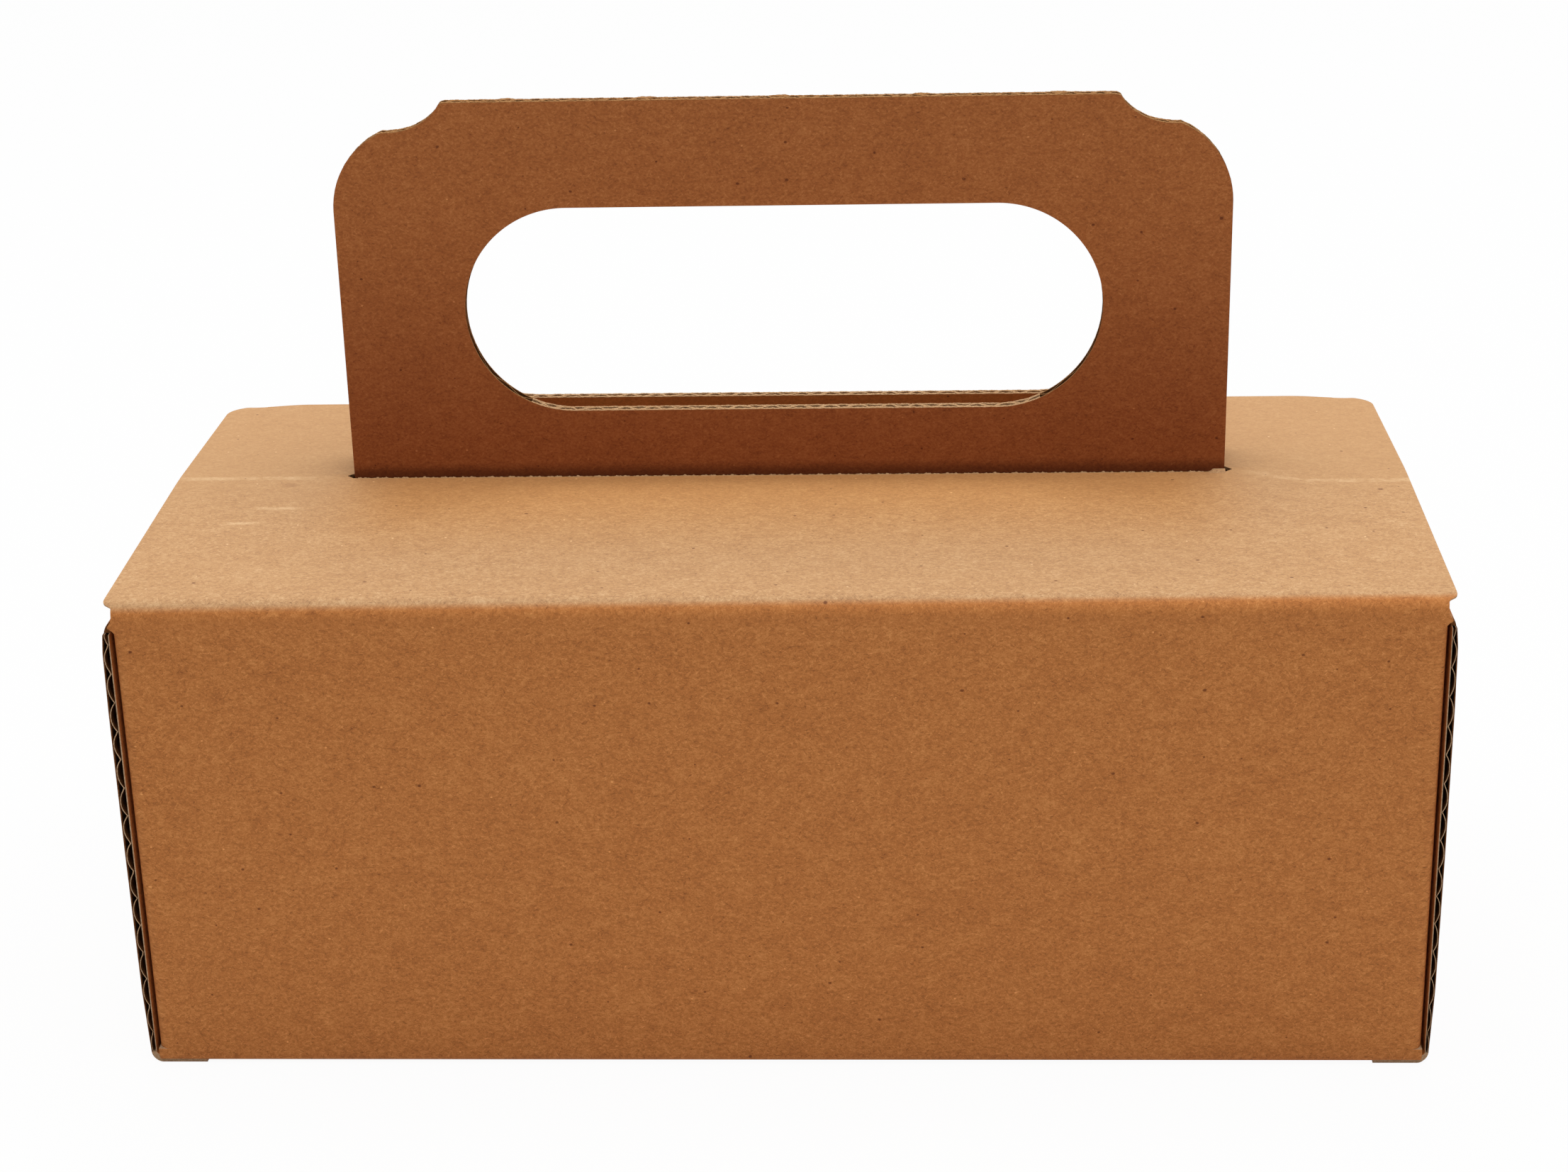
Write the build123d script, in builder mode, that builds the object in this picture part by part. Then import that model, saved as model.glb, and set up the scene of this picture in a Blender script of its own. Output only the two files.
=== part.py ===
from build123d import *
from math import floor, radians, sqrt, tan
import os

# A small carry box of brown corrugated board, seen from its hinge wall.
# The tray and the lid are one folded blank, parted here at the lid's fold, where it turns.
# The handle is a second folded blank, pushed up through the lid's slot from below.
# X runs along the hinge wall, Y from the hinge wall to the far wall, Z up from the table.
# Lengths are in millimetres and angles in degrees.

# Driving dimensions of the box
width = 140.0
depth = 69.0
height = 55.7
board = 1.0
fold_inside = 0.3
layer_gap = 0.1
side_gap = 0.65
side_inset = 0.4
roll_flat = 0.1
wall_base_strip = 5.0

# Corrugation of the box board, and the shape of one flute channel as shares of pitch and depth
liner = 0.17
medium = 0.14
flute_pitch = 3.4
channel_foot_share = 0.86
channel_waist_share = 0.6
channel_crest_share = 0.24
channel_waist_depth_share = 0.55

# Side tabs of the hinge wall and the far wall
tab_length = 27.0
tab_top_drop = 3.4
tab_foot_gap = 0.9
tab_slit = 0.3
shoulder_rise = 0.5

# Locking tongues of the inner side walls
tongue_width = 16.0
tongue_spacing = 34.0
tongue_play = 0.2
tongue_recess = 0.15

# Lid
lid_overhang = 1.1
lid_fold_radius = 2.0
lid_fold_foot = 0.2
lid_corner_radius = 3.2
crease_distance = 37.3
crease_rise = 0.5
crease_radius = 6.0
far_drop = 0.6
rest_gap = 0.15
far_wall_play = 0.35
ear_lift = 0.55

# Tuck flap of the lid
flap_length = 14.0
flap_inset = 4.6
flap_corner = 7.0
flap_swing_play = 0.25

# Slot of the lid
slot_play = 0.15
slot_tip = 0.8

# Carry handle
handle_board = 1.5
handle_width = 100.8
handle_rise = 44.1
handle_spread = 6.75
back_drop = 0.9
ridge_inside = 0.05
ridge_flat = 0.02
shoulder_radius = 9.75
shoulder_sweep = 67.0
shoulder_drop = 12.3
crown_width = 75.6
notch_bow = 1.2
crown_corner = 0.6
handle_liner = 0.2
handle_medium = 0.18
channel_margin = 0.8
bridge_count = 5
bridge_spacing = 15.4
bridge_width = 2.8
bridge_leg = 2.4
bridge_rise = 0.2
hole_length = 72.4
back_hole_length = 82.0
hole_height = 24.0
hole_top_band = 12.3
foot_setback = 19.5
foot_overhang = 4.5
foot_corner = 4.0
foot_gap = 0.12

# Faces and fold lines that the pieces share
half_width = width / 2
hinge_y = -depth / 2
far_y = depth / 2
fold_outside = fold_inside + board
fold_mid = fold_inside + board / 2
hinge_z = height - lid_fold_radius - lid_fold_foot
far_fold_y = far_y - board - far_wall_play
lid_half_width = half_width + lid_overhang
crease_y = hinge_y + crease_distance
crease_z = height + crease_rise
near_slope = crease_rise / crease_distance
far_slope = (crease_rise + far_drop) / (far_fold_y - crease_y)

# Layers of a double side wall, from the outside in
wall_top = height - far_drop - board - rest_gap
outer_in = half_width + side_gap
outer_mid = outer_in + board / 2
outer_out = outer_in + board
inner_out = half_width - board - layer_gap
inner_mid = inner_out - board / 2
inner_in = inner_out - board
roll_radius = (outer_mid - inner_mid - roll_flat) / 2
outer_end = depth / 2 - side_inset
inner_end = depth / 2 - board - layer_gap
strip_start = half_width - wall_base_strip

# Flute channels of the outer side walls
flute_low = fold_outside + liner
flute_high = wall_top - board / 2 - roll_radius
flute_count = floor((flute_high - flute_low) / flute_pitch - 0.5)
flute_start = (flute_low + flute_high - (flute_count - 0.5) * flute_pitch) / 2
flute_depth = board - 2 * liner - medium

# Side tabs
tab_foot = board + tab_foot_gap
tab_top = height - tab_top_drop
tab_mid = half_width - board / 2


def flute_outline(face, depth_inward, middle):
    """Corners of one flute channel, across the board and along the row of flutes.

    It is wide at its liner's face and narrow at the medium's crest, depth_inward from that face."""
    waist = face + channel_waist_depth_share * depth_inward
    crest = face + depth_inward
    half = flute_pitch / 2
    lower = [
        (face, middle - channel_foot_share * half),
        (waist, middle - channel_waist_share * half),
        (crest, middle - channel_crest_share * half),
    ]
    upper = [(across, 2 * middle - along) for across, along in reversed(lower)]
    return lower + upper


# One double side wall with its strip of the base
with BuildPart() as side_wall:
    with BuildSketch(Plane.XZ):
        with BuildLine():
            FilletPolyline(
                (strip_start, board / 2),
                (outer_mid, board / 2),
                (outer_mid, wall_top - board / 2),
                (inner_mid, wall_top - board / 2),
                (inner_mid, board + layer_gap),
                radius=[fold_mid, roll_radius, roll_radius],
            )
        trace(line_width=board)
    extrude(amount=outer_end, both=True)
    # The rolled top and the inner wall stop short of the hinge wall and the far wall
    with BuildSketch(Plane.XY.offset(board)):
        with Locations((0, inner_end + board), (0, -inner_end - board)):
            Rectangle(2 * outer_in, 2 * board)
    extrude(amount=height, mode=Mode.SUBTRACT)
    # Flutes run the whole depth, on both sides of the wavy medium
    with BuildSketch(Plane.XZ):
        for index in range(flute_count):
            middle = flute_start + index * flute_pitch
            with BuildLine():
                Polyline(flute_outline(outer_out - liner, -flute_depth, middle), close=True)
            make_face()
            with BuildLine():
                Polyline(flute_outline(outer_in + liner, flute_depth, middle + flute_pitch / 2), close=True)
            make_face()
    extrude(amount=depth, both=True, mode=Mode.SUBTRACT)

with BuildPart() as box_tray:
    # Hinge wall, base and far wall in one band
    with BuildSketch(Plane.YZ):
        with BuildLine():
            FilletPolyline(
                (hinge_y + board / 2, hinge_z),
                (hinge_y + board / 2, board / 2),
                (far_y - board / 2, board / 2),
                (far_y - board / 2, wall_top),
                radius=fold_mid,
            )
        trace(line_width=board)
    extrude(amount=half_width, both=True)
    # The upright edges are cut back where the side tabs fold
    with BuildSketch(Plane.XY.offset(tab_foot - tab_slit)):
        with GridLocations(2 * half_width, 2 * far_y, 2, 2):
            Rectangle(2 * fold_outside, 2 * fold_outside)
    extrude(amount=tab_top - tab_foot + 2 * tab_slit, mode=Mode.SUBTRACT)
    for wall_y, inward in ((hinge_y, 1), (far_y, -1)):
        wall_mid = wall_y + inward * board / 2
        tab_end = wall_y + inward * tab_length
        with BuildSketch(Plane.XY.offset(tab_foot)):
            with BuildLine():
                FilletPolyline(
                    (-tab_mid, tab_end),
                    (-tab_mid, wall_mid),
                    (tab_mid, wall_mid),
                    (tab_mid, tab_end),
                    radius=fold_mid,
                )
            trace(line_width=board)
        extrude(amount=tab_top - tab_foot)
    add(side_wall.part)
    mirror(side_wall.part, about=Plane.YZ)
    # Above the side tabs the hinge wall is wider, and hooks over the front of the side walls
    with BuildSketch(Plane.XZ.offset(-hinge_y - board)):
        with Locations((0, tab_top + 2 * tab_slit + shoulder_rise / 2)):
            Rectangle(2 * outer_in, shoulder_rise)
    extrude(amount=board)
    # Slots in the base take the tongues of the inner walls
    with BuildSketch(Plane.XY):
        with GridLocations(2 * inner_mid, tongue_spacing, 2, 2):
            Rectangle(board + 2 * tongue_play, tongue_width + 2 * tongue_play)
    extrude(amount=board, mode=Mode.SUBTRACT)
    with BuildSketch(Plane.XY.offset(tongue_recess)):
        with GridLocations(2 * inner_mid, tongue_spacing, 2, 2):
            Rectangle(board, tongue_width)
    extrude(amount=2 * board)
box_tray.part.label = "box_tray"


def lid_underside(y):
    """Height of the lid's underside, which falls away on both sides of the crease."""
    slope = near_slope if y < crease_y else far_slope
    return crease_z - board - slope * abs(y - crease_y)


# Tuck flap: its toe swings clear of the far wall when the lid turns about its fold
flap_top = height - far_drop - board
flap_toe_z = flap_top - flap_length
swing_reach = depth - board - flap_swing_play
flap_toe_y = hinge_y + sqrt(swing_reach**2 - (hinge_z - flap_toe_z) ** 2)
flap_half_width = lid_half_width - flap_inset

# Handle: two panels that meet at the crown, with the near one upright and the far one leaning
handle_mid = handle_board / 2
handle_fold = fold_inside + handle_mid
front_face_y = crease_y + slot_play
front_mid_y = front_face_y + handle_mid
crown_z = crease_z + handle_rise
foot_length = depth / 2 - foot_setback
bridge_z = crown_z + bridge_rise - handle_mid
ridge_radius = handle_mid + ridge_inside
ridge_back_y = front_mid_y + ridge_radius * (1 + tan(radians(45 + handle_spread / 2))) + ridge_flat
front_foot_z = lid_underside(crease_y) - foot_gap - handle_mid
ridge_mid_y = (front_mid_y + ridge_back_y) / 2
back_foot_y = ridge_back_y + tan(radians(handle_spread)) * (bridge_z - front_foot_z)
back_foot_z = lid_underside(back_foot_y) - foot_gap - handle_mid
slot_back_y = back_foot_y + handle_mid + slot_play
handle_half_width = handle_width / 2
foot_half_width = handle_half_width + foot_overhang
shoulder_z = crown_z - shoulder_drop


def back_mid_y(z):
    """Middle of the leaning back panel's board at a height."""
    return ridge_back_y + (back_foot_y - ridge_back_y) * (bridge_z - z) / (bridge_z - back_foot_z)


# Flutes of the handle board run up each panel
channel_count = floor(2 * (handle_half_width - channel_margin) / flute_pitch - 0.5)
channel_start = -(channel_count - 0.5) * flute_pitch / 2
channel_depth = handle_board - 2 * handle_liner - handle_medium
channel_reach = handle_mid - handle_liner
channel_foot_z = front_foot_z + handle_fold
back_channels = Plane(
    origin=(0, back_mid_y(channel_foot_z), channel_foot_z),
    x_dir=(1, 0, 0),
    z_dir=(0, back_mid_y(crown_z) - back_mid_y(channel_foot_z), crown_z - channel_foot_z),
)

with BuildPart() as lid:
    with BuildSketch(Plane.YZ):
        with BuildLine():
            FilletPolyline(
                (hinge_y + board / 2, hinge_z),
                (hinge_y + board / 2, height - board / 2),
                (crease_y, crease_z - board / 2),
                (far_fold_y - board / 2, height - far_drop - board / 2),
                (flap_toe_y - board / 2, flap_toe_z),
                radius=[lid_fold_radius - board / 2, crease_radius, fold_mid],
            )
        trace(line_width=board)
    extrude(amount=lid_half_width, both=True)
    # Rounded far corners, seen from above
    with BuildSketch(Plane.XY):
        with Locations((0, far_fold_y - depth)):
            RectangleRounded(2 * lid_half_width, 2 * depth, lid_corner_radius)
    extrude(amount=2 * height, mode=Mode.INTERSECT)
    # The tuck flap is narrower than the lid and has rounded corners
    with BuildSketch(Plane.XZ.offset(-far_y)):
        with Locations((0, flap_top - height / 2)):
            Rectangle(2 * width, height)
        with Locations((0, flap_toe_z + flap_length)):
            RectangleRounded(2 * flap_half_width, 2 * flap_length, flap_corner, mode=Mode.SUBTRACT)
    extrude(amount=far_y - crease_y, mode=Mode.SUBTRACT)
    # Ears at the ends of the hinge fold stay above the side walls
    with BuildSketch(Plane.XY.offset(hinge_z)):
        with Locations((0, hinge_y)):
            with GridLocations(2 * half_width + width, 0, 2, 1):
                Rectangle(width, 2 * lid_fold_radius)
    extrude(amount=wall_top + ear_lift - hinge_z, mode=Mode.SUBTRACT)
    # Slot for the handle, pointed at its ends
    slot_end = handle_half_width + slot_play
    with BuildSketch(Plane.XY.offset(flap_top - board)):
        with BuildLine():
            Polyline(
                (-slot_end, crease_y),
                (slot_end, crease_y),
                (slot_end + slot_tip, crease_y + slot_tip),
                (slot_end, slot_back_y),
                (-slot_end, slot_back_y),
                (-slot_end - slot_tip, crease_y + slot_tip),
                close=True,
            )
        make_face()
    extrude(amount=4 * board, mode=Mode.SUBTRACT)
lid.part.label = "lid"

with BuildPart() as carry_handle:
    # Each panel with its foot, cut square at the crown
    with BuildSketch(Plane.YZ):
        with BuildLine():
            FilletPolyline(
                (front_mid_y - foot_length, front_foot_z - near_slope * foot_length),
                (front_mid_y, front_foot_z),
                (front_mid_y, crown_z + handle_mid),
                radius=handle_fold,
            )
        trace(line_width=handle_board)
        with BuildLine():
            FilletPolyline(
                (back_mid_y(crown_z + handle_mid), crown_z + handle_mid),
                (back_foot_y, back_foot_z),
                (back_foot_y + foot_length, back_foot_z - far_slope * foot_length),
                radius=handle_fold,
            )
        trace(line_width=handle_board)
    extrude(amount=foot_half_width, both=True)
    # Rounded corners of the feet, seen from above
    with BuildSketch(Plane.XY):
        with Locations((0, (front_mid_y + back_foot_y) / 2)):
            RectangleRounded(
                2 * foot_half_width, back_foot_y - front_mid_y + 2 * foot_length, foot_corner
            )
    extrude(amount=2 * crown_z, mode=Mode.INTERSECT)
    # Above the lid's underside the handle is narrower than its feet
    for side in (1, -1):
        with BuildSketch(Plane.YZ.offset(side * handle_half_width)):
            with BuildLine():
                Polyline(
                    (hinge_y, lid_underside(hinge_y) - foot_gap / 2),
                    (crease_y, lid_underside(crease_y) - foot_gap / 2),
                    (far_y, lid_underside(far_y) - foot_gap / 2),
                    (far_y, 2 * crown_z),
                    (hinge_y, 2 * crown_z),
                    close=True,
                )
            make_face()
        extrude(amount=side * width, mode=Mode.SUBTRACT)
    # Round shoulders run through a hollow notch into the flat crown, over the hand hole.
    # The far panel's crown is lower and its hole longer, so that the near panel hides them.
    for panel_y, panel_end_y, drop, panel_hole in (
        (hinge_y, ridge_mid_y, 0, hole_length),
        (ridge_mid_y, far_y, back_drop, back_hole_length),
    ):
        with BuildSketch(Plane.XZ.offset(-panel_y)) as waste:
            with Locations((0, shoulder_z - drop + handle_rise / 2)):
                Rectangle(2 * width, handle_rise)
            with BuildLine():
                shoulder = JernArc(
                    (handle_half_width, shoulder_z - drop), (0, 1), shoulder_radius, shoulder_sweep
                )
                notch = SagittaArc(shoulder @ 1, (crown_width / 2, crown_z - drop), notch_bow)
                Line(notch @ 1, (0, crown_z - drop))
                mirror(about=Plane.YZ)
                Line((-handle_half_width, shoulder_z - drop), (handle_half_width, shoulder_z - drop))
            make_face(mode=Mode.SUBTRACT)
            fillet(waste.vertices().group_by(Axis.Y)[-2], radius=crown_corner)
            with Locations((0, crown_z - hole_top_band - hole_height / 2)):
                SlotOverall(panel_hole, hole_height)
        extrude(amount=panel_y - panel_end_y, mode=Mode.SUBTRACT)
    # Open flutes, seen at the crown, the shoulders and the lips of the hand hole
    for panel in (Plane((0, front_mid_y, channel_foot_z)), back_channels):
        with BuildSketch(panel):
            for index in range(channel_count):
                middle = channel_start + index * flute_pitch
                for face, depth_inward, place in (
                    (-channel_reach, channel_depth, middle),
                    (channel_reach, -channel_depth, middle + flute_pitch / 2),
                ):
                    outline = flute_outline(face, depth_inward, place)
                    with BuildLine():
                        Polyline([(along, across) for across, along in outline], close=True)
                    make_face()
        extrude(amount=2 * handle_rise, mode=Mode.SUBTRACT)
    # Bridges of the cut crease carry the board over the crown
    for index in range(bridge_count):
        bridge_x = (index - (bridge_count - 1) / 2) * bridge_spacing
        with BuildSketch(Plane.YZ.offset(bridge_x)):
            with BuildLine():
                FilletPolyline(
                    (front_mid_y, crown_z - bridge_leg),
                    (front_mid_y, bridge_z),
                    (ridge_back_y, bridge_z),
                    (back_mid_y(crown_z - bridge_leg), crown_z - bridge_leg),
                    radius=ridge_radius,
                )
            trace(line_width=handle_board)
        extrude(amount=bridge_width / 2, both=True)
carry_handle.part.label = "carry_handle"

os.makedirs("parts", exist_ok=True)
export_step(box_tray.part, "parts/box_tray.step")
export_step(lid.part, "parts/lid.step")
export_step(carry_handle.part, "parts/carry_handle.step")
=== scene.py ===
import math

import bmesh
import bpy
import numpy as np
from mathutils import Matrix, Vector


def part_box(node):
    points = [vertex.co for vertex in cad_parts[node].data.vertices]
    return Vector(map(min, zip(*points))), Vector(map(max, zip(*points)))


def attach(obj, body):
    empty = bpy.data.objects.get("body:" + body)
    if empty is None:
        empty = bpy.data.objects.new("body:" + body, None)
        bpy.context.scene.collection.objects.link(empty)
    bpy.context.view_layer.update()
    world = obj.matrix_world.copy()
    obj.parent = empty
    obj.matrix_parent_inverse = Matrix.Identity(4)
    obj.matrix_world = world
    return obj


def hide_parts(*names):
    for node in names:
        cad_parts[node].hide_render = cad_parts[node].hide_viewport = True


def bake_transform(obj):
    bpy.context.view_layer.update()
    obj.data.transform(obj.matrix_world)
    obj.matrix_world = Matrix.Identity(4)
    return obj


# A carry box of brown corrugated board. The pieces are sheets of real corrugated board:
# two liners with a wavy medium between them, folded along a profile.
# Lengths are in millimetres until a mesh is made, and angles are in degrees.

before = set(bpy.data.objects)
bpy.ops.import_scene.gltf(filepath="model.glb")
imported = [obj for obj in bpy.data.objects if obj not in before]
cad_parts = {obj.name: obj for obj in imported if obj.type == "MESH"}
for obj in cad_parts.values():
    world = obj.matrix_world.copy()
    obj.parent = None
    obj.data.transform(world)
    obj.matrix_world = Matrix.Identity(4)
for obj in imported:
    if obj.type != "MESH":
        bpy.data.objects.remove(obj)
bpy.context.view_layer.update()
MM = 0.001


def node_box(name):
    """Lowest and highest corner of a solid, in millimetres."""
    low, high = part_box(name)
    return [v / MM for v in low], [v / MM for v in high]


tray_low, tray_high = node_box("box_tray")
lid_low, lid_high = node_box("lid")
handle_low, handle_high = node_box("carry_handle")

# Board
board = 1.0
handle_board = 1.5
liner = 0.17
handle_liner = 0.2
medium = 0.13
pressed_liner = 0.13
pressed_medium = 0.10
flute_pitch = 3.38
flute_samples = 9
side_cusp_z = 3.77
fold_mid = 0.3 + board / 2
fold_arc = fold_mid * math.pi / 2
panel_step = 3.0
sharp_angle = 38.0

# Where the sheets that share a material lie on the paper, so that their hairs differ
side_paper = 200
back_paper = 300
bridge_paper = 100

# Box, with its outer sizes from the frame
depth = tray_high[1] - tray_low[1]
hinge_y = tray_low[1]
far_y = tray_high[1]
wall_top = tray_high[2]
outer_out = tray_high[0]
side_gap = 0.65
half_width = outer_out - board - side_gap
layer_gap = 0.1
side_inset = 0.4
tab_length = 27.0
tab_foot = 1.9
tab_top = 52.3
tongue_y = 17.0
tongue_half = 8.0
tongue_toe_z = 0.15
tongue_gap = 0.2
fold_seam_z = 52.9
corner_half = half_width + 0.28
hook_root = corner_half - 1.3
hook_start = 69.86
hook_tip = 70.45
hook_drop = fold_seam_z - tab_top
strip_start = half_width - 5.0
outer_mid = outer_out - board / 2
inner_mid = half_width - board * 1.5 - layer_gap
outer_end = depth / 2 - side_inset
inner_end = depth / 2 - board - layer_gap
roll_flat = 0.1
roll_radius = (outer_mid - inner_mid - roll_flat) / 2
press_z = [0, 1.6, 9, 26, 43, 50, 52, 54]
press_depth = [0.45, 0.38, 0.1, 0, 0, 0.1, 0.28, 0.6]
right_press = 0.2
left_press = 0.0

# Lid, with its outer sizes from the frame
height = 55.7
crease_y = 2.8
crease_z = lid_high[2]
lid_half_width = lid_high[0]
far_fold_y = lid_high[1]
far_fold_z = height - 0.6
lid_fold_radius = 2.0
lid_corner_radius = 3.2
lid_seam_y = -31.0
flap_toe_z = lid_low[2]
flap_toe_y = 31.9
flap_half_width = 66.5
flap_corner = 7.0
slot_half = 50.55
slot_tip = 0.8
slot_gap = 0.05
slot_back_gap = 0.15
slot_end_width = 2.0
slot_tip_width = 0.25
slot_wear = 0.25
corner_reach = 0.35
flap_past_bend = 0.3
lid_bow = 0.35
bow_end_x = 61.0
bow_corner = 8.0
rim_start_x = -50.0
tear_x = 48.6
tear_end_x = 50.5
ear_x, ear_blend_x = 69.4, 0.9
ear_start, ear_blend_s = 1.7, 0.4
ear_thinner = 0.7
ear_s = [0.0, 0.2, 0.5, 0.85, 1.25, 2.0, 2.15, 2.3, 2.45, 2.6]
ear_half_width = [70.45, 70.68, 70.5, 70.25, 70.15, 70.2, 70.4, 70.8, 71.0, 71.1]

# Handle, with its outer sizes from the frame
bridge_rise = 0.2
back_drop = 0.9
crown_z = handle_high[2] - bridge_rise
handle_half = 50.4
foot_half = handle_high[0]
foot_toe_near = handle_low[1]
foot_toe_far = handle_high[1]
foot_length = 15.0
foot_corner = 4.0
foot_gap = 0.12
back_foot_drop = 0.28
foot_past_bend = 0.35
near_fall = 0.2
far_fall = 0.54
front_mid_y = foot_toe_near + foot_length
back_foot_y = foot_toe_far - foot_length
handle_fold = 0.3 + handle_board / 2
ridge_radius = handle_board / 2 + 0.05
ridge_gap = 0.02
handle_spread = 6.75
bridge_places = [-30.4, -14.7, 0.2, 15.9, 31.0]
bridge_half = 1.4
bridge_leg = 2.4
hole_half = 36.2
back_hole_half = 41.0
hole_radius = 12.0
hole_below_crown = 12.1
hole_z = crown_z - hole_below_crown - hole_radius
back_hole_drop = 0.3
back_lip_press = 0.35
lip_strand = 0.24
lip_inset = 7.0
crown_strand = 0.3
crown_inset = 1.5
strand_root = 0.5
crown_half = 37.8
shoulder_radius = 9.75
shoulder_drop = 12.3
shoulder_z = crown_z - shoulder_drop
shoulder_sweep = math.radians(67.0)
notch_hollow = 3.6
notch_skew = 0.6
crown_soft = 0.3

# Camera, fitted to the photograph
photo_width = 2212
focal_pixels = 4264.0
sensor_width = 36.0
camera_place = (15.54, -325.99, 176.04)
camera_pitch = 22.110
camera_yaw = -2.815
camera_roll = 1.411


class Fold:
    """A profile line through corners with rounded bends, measured along its length."""

    def __init__(self, corners, radii):
        places, angles = [np.array(corners[0], float)], []
        for i in range(1, len(corners) - 1):
            before, here, after = (np.array(corners[i + k], float) for k in (-1, 0, 1))
            into = (here - before) / np.linalg.norm(here - before)
            out = (after - here) / np.linalg.norm(after - here)
            turn = math.atan2(into[0] * out[1] - into[1] * out[0], float(into @ out))
            side = 1 if turn > 0 else -1
            reach = radii[i - 1] * math.tan(abs(turn) / 2)
            start = here - into * reach
            centre = start + side * radii[i - 1] * np.array((-into[1], into[0]))
            heading = math.atan2(into[1], into[0])
            steps = max(2, math.ceil(abs(turn) / math.radians(6)))
            if not angles:
                angles.append(heading)
            for k in range(steps + 1):
                angle = heading + turn * k / steps
                across = np.array((math.sin(angle), -math.cos(angle)))
                places.append(centre + side * radii[i - 1] * across)
                angles.append(angle)
        places.append(np.array(corners[-1], float))
        angles.append(angles[-1])
        self.places = np.array(places)
        self.angles = np.array(angles)
        steps = np.linalg.norm(np.diff(self.places, axis=0), axis=1)
        self.along = np.concatenate([[0.0], np.cumsum(steps)])
        self.length = self.along[-1]

    def at(self, s, w):
        """Place at distance s along the line, or past its ends, and w to its left."""
        past = s - np.clip(s, 0, self.length)
        a = np.interp(s, self.along, self.places[:, 0])
        b = np.interp(s, self.along, self.places[:, 1])
        angle = np.interp(s, self.along, self.angles)
        sine, cosine = np.sin(angle), np.cos(angle)
        return a + past * cosine - w * sine, b + past * sine + w * cosine

    def find(self, index, value, first=0.0):
        """Distance along the line where one coordinate reaches a value, past a first distance."""
        fine = np.linspace(first, self.length, 6000)
        track = np.interp(fine, self.along, self.places[:, index])
        crossing = np.nonzero(np.diff(np.sign(track - value)))[0]
        return float(fine[crossing[0]]) if len(crossing) else float(self.length)


def spaced(low, high, step, extra=()):
    """Even steps from low to high, with some places of their own."""
    count = max(1, math.ceil((high - low) / step))
    inside = [e for e in extra if low < e < high]
    return np.array(sorted(set(np.round(np.linspace(low, high, count + 1), 5)) | set(inside)))


def round_columns(start, radius):
    """Column places that follow a quarter circle, to just short of its end."""
    arc = [start + radius * math.sin(math.radians(a)) for a in range(0, 90, 5)]
    return [*arc, start + radius - 0.001]


# What a face shows: the liner, a cut edge, the inside of a flute, another cut or other paper.
FACE, CUT, FLUTE, OTHER_CUT, OTHER = range(5)


class Sheet:
    """Collects the slabs of one piece of board."""

    def __init__(self, place):
        self.place = place
        self.on_paper = lambda u, s: (u, s)
        self.skins = (FACE, FACE)
        self.points, self.paper, self.faces, self.kinds = [], [], [], []
        self.count = 0

    def slab(self, u, s, low, high, cut=CUT, skins=None):
        """A closed slab over a grid of places (u, s), from one offset to another.

        skins and cut number the materials of its two faces and of its edges.
        """
        skins = skins or self.skins
        u, s = np.broadcast_arrays(u, s)
        low, high = np.broadcast_to(low, u.shape), np.broadcast_to(high, u.shape)
        n, m = u.shape
        for w in (low, high):
            self.points.append(np.stack([c.ravel() for c in self.place(u, s, w)], 1))
            x, y = self.on_paper(u.ravel(), s.ravel())
            self.paper.append(np.stack([x, y, w.ravel()], 1))
        grid = self.count + np.arange(n * m).reshape(n, m)
        top = grid + n * m
        quads = [
            (grid[:-1, :-1], grid[1:, :-1], grid[1:, 1:], grid[:-1, 1:], skins[0]),
            (top[:-1, :-1], top[:-1, 1:], top[1:, 1:], top[1:, :-1], skins[1]),
            (grid[:-1, 0], top[:-1, 0], top[1:, 0], grid[1:, 0], cut),
            (grid[:-1, -1], grid[1:, -1], top[1:, -1], top[:-1, -1], cut),
            (grid[0, :-1], grid[0, 1:], top[0, 1:], top[0, :-1], cut),
            (grid[-1, :-1], top[-1, :-1], top[-1, 1:], grid[-1, 1:], cut),
        ]
        for a, b, c, d, kind in quads:
            faces = np.stack([a.ravel(), b.ravel(), c.ravel(), d.ravel()], 1)
            self.faces.append(faces)
            self.kinds.append(np.full(len(faces), kind))
        self.count += 2 * n * m

    def build(self, name, materials):
        points = np.concatenate(self.points) * MM
        faces = np.concatenate(self.faces)
        kinds = np.concatenate(self.kinds)
        mesh = bpy.data.meshes.new(name)
        mesh.from_pydata(points.tolist(), [], faces.tolist())
        attribute = mesh.attributes.new("paper", "FLOAT_VECTOR", "POINT")
        attribute.data.foreach_set("vector", np.concatenate(self.paper).astype(np.float32).ravel())
        for material in materials:
            mesh.materials.append(material)
        mesh.polygons.foreach_set("material_index", kinds.astype(np.int32))
        work = bmesh.new()
        work.from_mesh(mesh)
        bmesh.ops.recalc_face_normals(work, faces=work.faces)
        work.to_mesh(mesh)
        work.free()
        mesh.shade_smooth()
        mesh.set_sharp_from_angle(angle=math.radians(sharp_angle))
        obj = bpy.data.objects.new(name, mesh)
        bpy.context.scene.collection.objects.link(obj)
        return obj


def wave(x, phase=0.0):
    """The medium's line across the flutes, from -1 to 1, a little uneven from flute to flute."""
    uneven = 0.22 * np.sin(0.83 * x + 1.1) + 0.16 * np.sin(2.1 * x)
    return np.cos(2 * np.pi * (x - phase) / flute_pitch + uneven)


def crushed_wave(x, phase):
    """The same line where the board is pressed: pointed at one liner and round at the other."""
    uneven = 0.10 * np.sin(0.7 * x) + 0.08 * np.sin(1.9 * x + 0.5)
    return 1 - 2 * np.abs(np.sin(np.pi * (x - phase) / flute_pitch + uneven)) ** 0.85


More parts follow.
